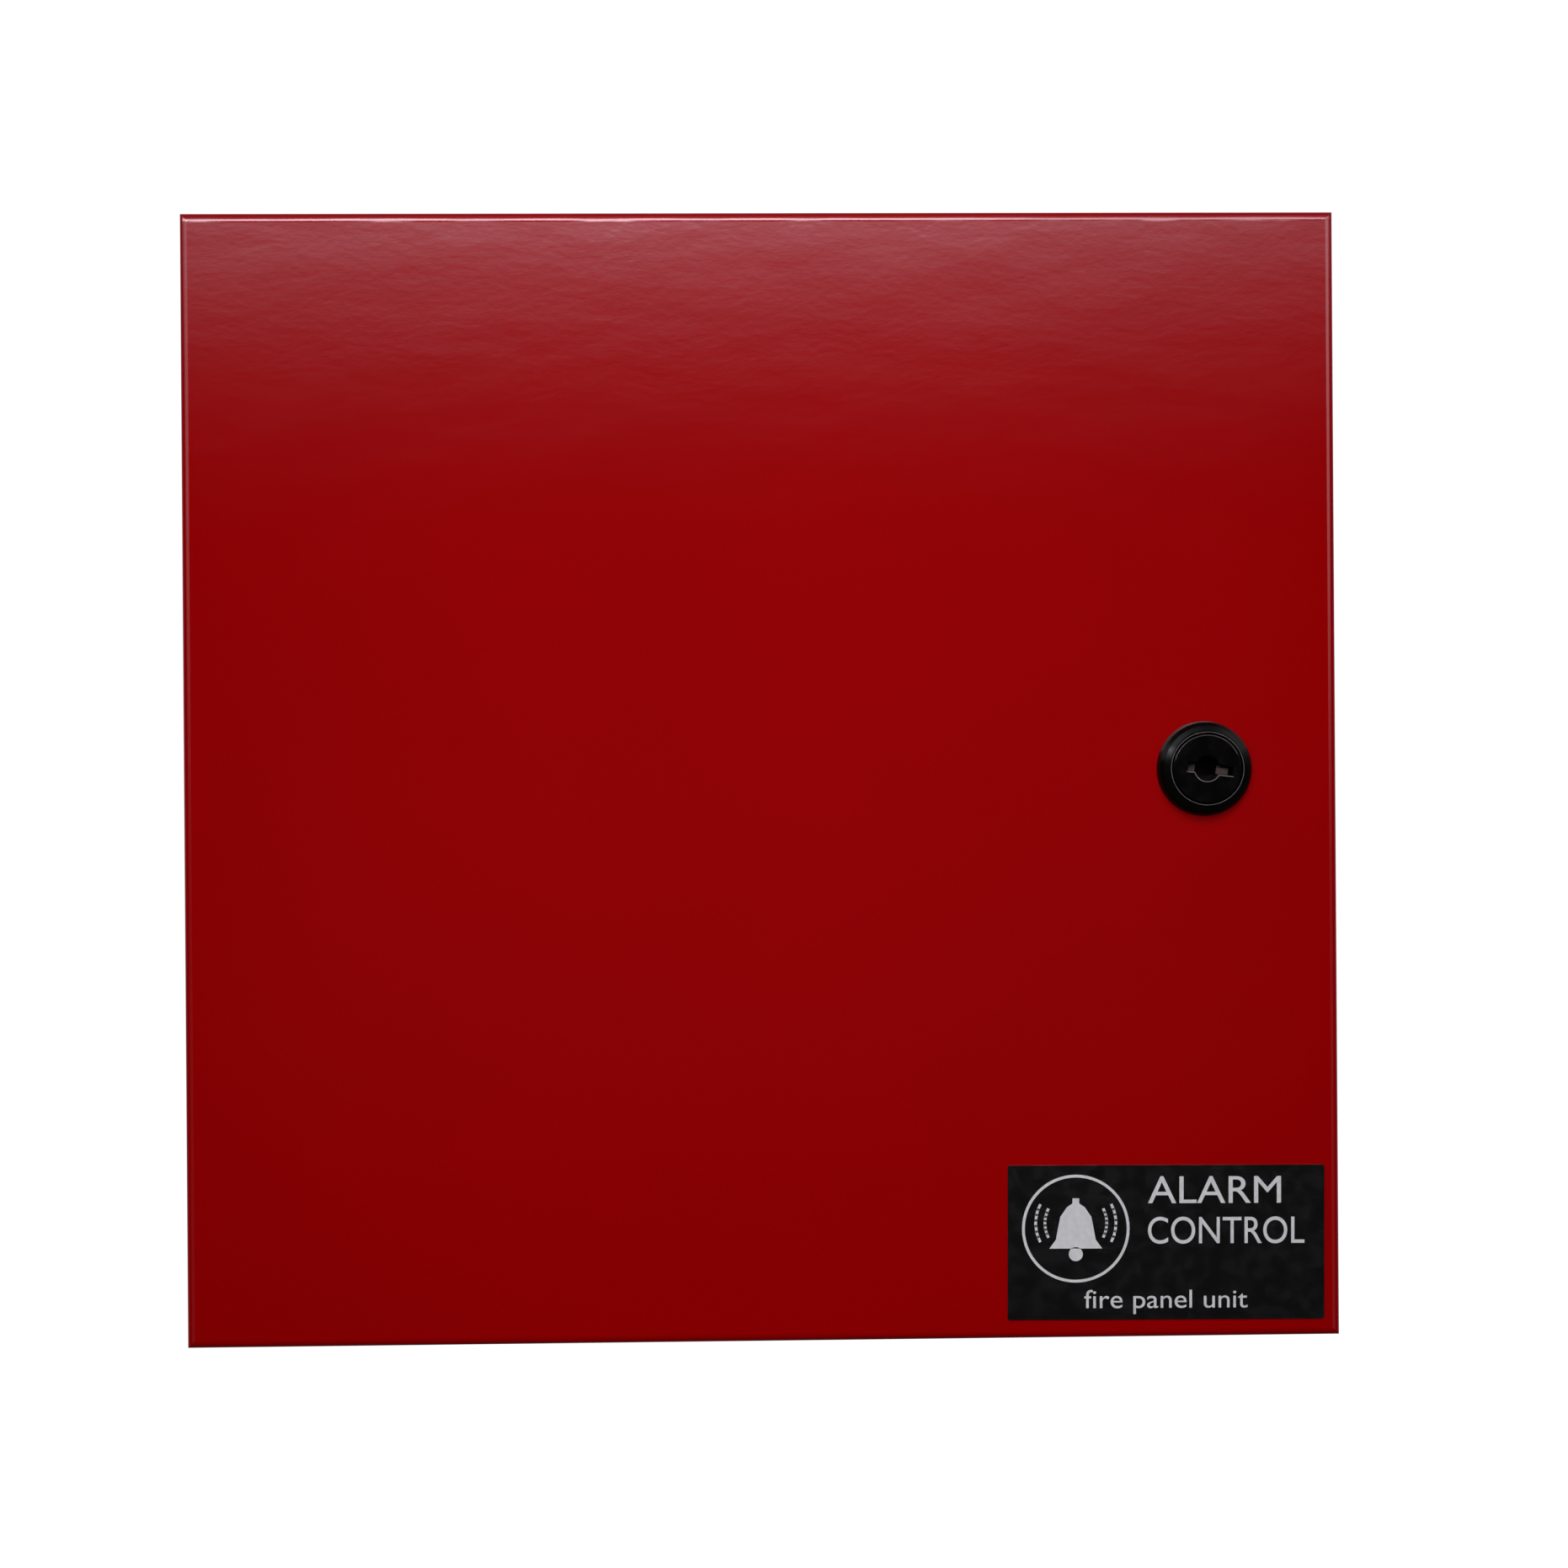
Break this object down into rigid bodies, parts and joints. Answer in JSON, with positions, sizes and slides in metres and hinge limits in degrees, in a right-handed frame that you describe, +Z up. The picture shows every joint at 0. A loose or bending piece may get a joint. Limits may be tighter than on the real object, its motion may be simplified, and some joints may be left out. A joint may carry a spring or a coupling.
{
  "type": "fire alarm control panel",
  "caption": "Wall-mounted red steel alarm cabinet: hinged door with a cam lock, inside a control board, display, keypad, transformer and standby batteries.",
  "frame": {"origin": "on the wall face, at the middle of the four wall screws, which is the middle of the cabinet's back", "axes": "+Z up, +Y into the wall, +X to the right as seen from the front; the door faces -Y"},
  "size_m": [0.3118, 0.088, 0.3056],
  "materials": {
    "red_enamel": "gloss red enamel with fine orange peel",
    "zinc_plate": "satin zinc plate",
    "pin_steel": "bright drawn steel",
    "bumper_rubber": "matt",
    "plate_black": "fine satin black",
    "label_white": "satin printed sheet",
    "lock_black": "satin black over die-cast zinc",
    "plug_black": "matt black over die-cast zinc",
    "wafer_brass": "stamped and turned brass",
    "board_green": "green solder mask",
    "block_black": "moulded",
    "relay_white": "moulded",
    "sleeve_blue": "shrunk sleeve",
    "sink_black": "black anodised",
    "clear_glass": "clear",
    "ribbon_grey": "flat ribbed cable",
    "bezel_grey": "fine textured",
    "lcd_green": "backlit display",
    "led_green": "tinted lens",
    "led_red": "tinted lens",
    "led_yellow": "tinted lens",
    "key_yellow": "matt silicone",
    "key_grey": "matt silicone",
    "key_red": "matt silicone",
    "core_steel": "varnished laminations",
    "bobbin_cream": "moulded nylon",
    "winding_tape": "polyester tape",
    "battery_case": "moulded",
    "battery_lid": "moulded",
    "wire_red": "insulation",
    "wire_black": "insulation",
    "wire_blue": "insulation",
    "wire_yellow": "insulation",
    "wire_green": "insulation"
  },
  "bodies": {
    "cabinet": {"box_wrapper": "red_enamel", "box_top": "red_enamel", "box_bottom": "red_enamel", "hinge_box_leaves": "zinc_plate", "hinge_pins": "pin_steel", "hinge_rivets": "zinc_plate", "main_board": "board_green", "board_spacers": "wafer_brass", "panel_screws": "zinc_plate", "terminal_blocks": "block_black", "terminal_screws": "zinc_plate", "mains_block": "block_black", "relays": "relay_white", "capacitors": "sleeve_blue", "heat_sink": "sink_black", "power_transistors": "block_black", "fuse_clips": "zinc_plate", "fuse_tubes": "clear_glass", "buzzer": "block_black", "chips": "block_black", "wire_connectors": "relay_white", "ribbon_cable": "ribbon_grey", "display_posts": "wafer_brass", "display_board": "board_green", "display_bezel": "bezel_grey", "lcd_frame": "bezel_grey", "lcd_glass": "lcd_green", "leds_green": "led_green", "leds_red": "led_red", "leds_yellow": "led_yellow", "key_switches": "block_black", "transformer_core": "core_steel", "transformer_bobbin": "bobbin_cream", "transformer_winding": "winding_tape", "transformer_strap": "zinc_plate", "battery_cases": "battery_case", "battery_lids": "battery_lid", "battery_tabs": "zinc_plate", "battery_lead_positive": "wire_red", "battery_lead_negative": "wire_black", "battery_jumper": "wire_blue", "transformer_leads": "wire_yellow", "earth_stud": "wafer_brass", "earth_wire": "wire_green"},
    "door_assembly": {"door": "red_enamel", "hinge_door_leaves": "zinc_plate", "door_bumpers": "bumper_rubber", "nameplate": "plate_black", "door_label": "label_white", "lock_body": "lock_black", "lock_nut": "zinc_plate"},
    "lock_core": {"lock_plug": "plug_black", "lock_wafers": "wafer_brass", "lock_cam": "zinc_plate", "cam_screw": "zinc_plate"},
    "button_1_body": {"button_1": "key_yellow"},
    "button_2_body": {"button_2": "key_grey"},
    "button_3_body": {"button_3": "key_grey"},
    "button_4_body": {"button_4": "key_red"},
    "button_5_body": {"button_5": "key_grey"}
  },
  "joints": [
    {"name": "door_swing", "type": "hinge", "parent": "cabinet", "child": "door_assembly", "pos_m": [-0.15345, -0.0678, 0], "axis": [0, 0, -1], "range_deg": [0, 150]},
    {"name": "lock_turn", "type": "hinge", "parent": "door_assembly", "child": "lock_core", "pos_m": [0.11955, -0.083, 0.0015], "axis": [0, -1, 0], "range_deg": [0, 90]},
    {"name": "button_1_press", "type": "slide", "parent": "cabinet", "child": "button_1_body", "axis": [0, 1, 0], "range_m": [0, 0.001], "stiffness_N_per_m": 400, "springref_m": -0.0005},
    {"name": "button_2_press", "type": "slide", "parent": "cabinet", "child": "button_2_body", "axis": [0, 1, 0], "range_m": [0, 0.001], "stiffness_N_per_m": 400, "springref_m": -0.0005},
    {"name": "button_3_press", "type": "slide", "parent": "cabinet", "child": "button_3_body", "axis": [0, 1, 0], "range_m": [0, 0.001], "stiffness_N_per_m": 400, "springref_m": -0.0005},
    {"name": "button_4_press", "type": "slide", "parent": "cabinet", "child": "button_4_body", "axis": [0, 1, 0], "range_m": [0, 0.001], "stiffness_N_per_m": 400, "springref_m": -0.0005},
    {"name": "button_5_press", "type": "slide", "parent": "cabinet", "child": "button_5_body", "axis": [0, 1, 0], "range_m": [0, 0.001], "stiffness_N_per_m": 400, "springref_m": -0.0005}
  ]
}
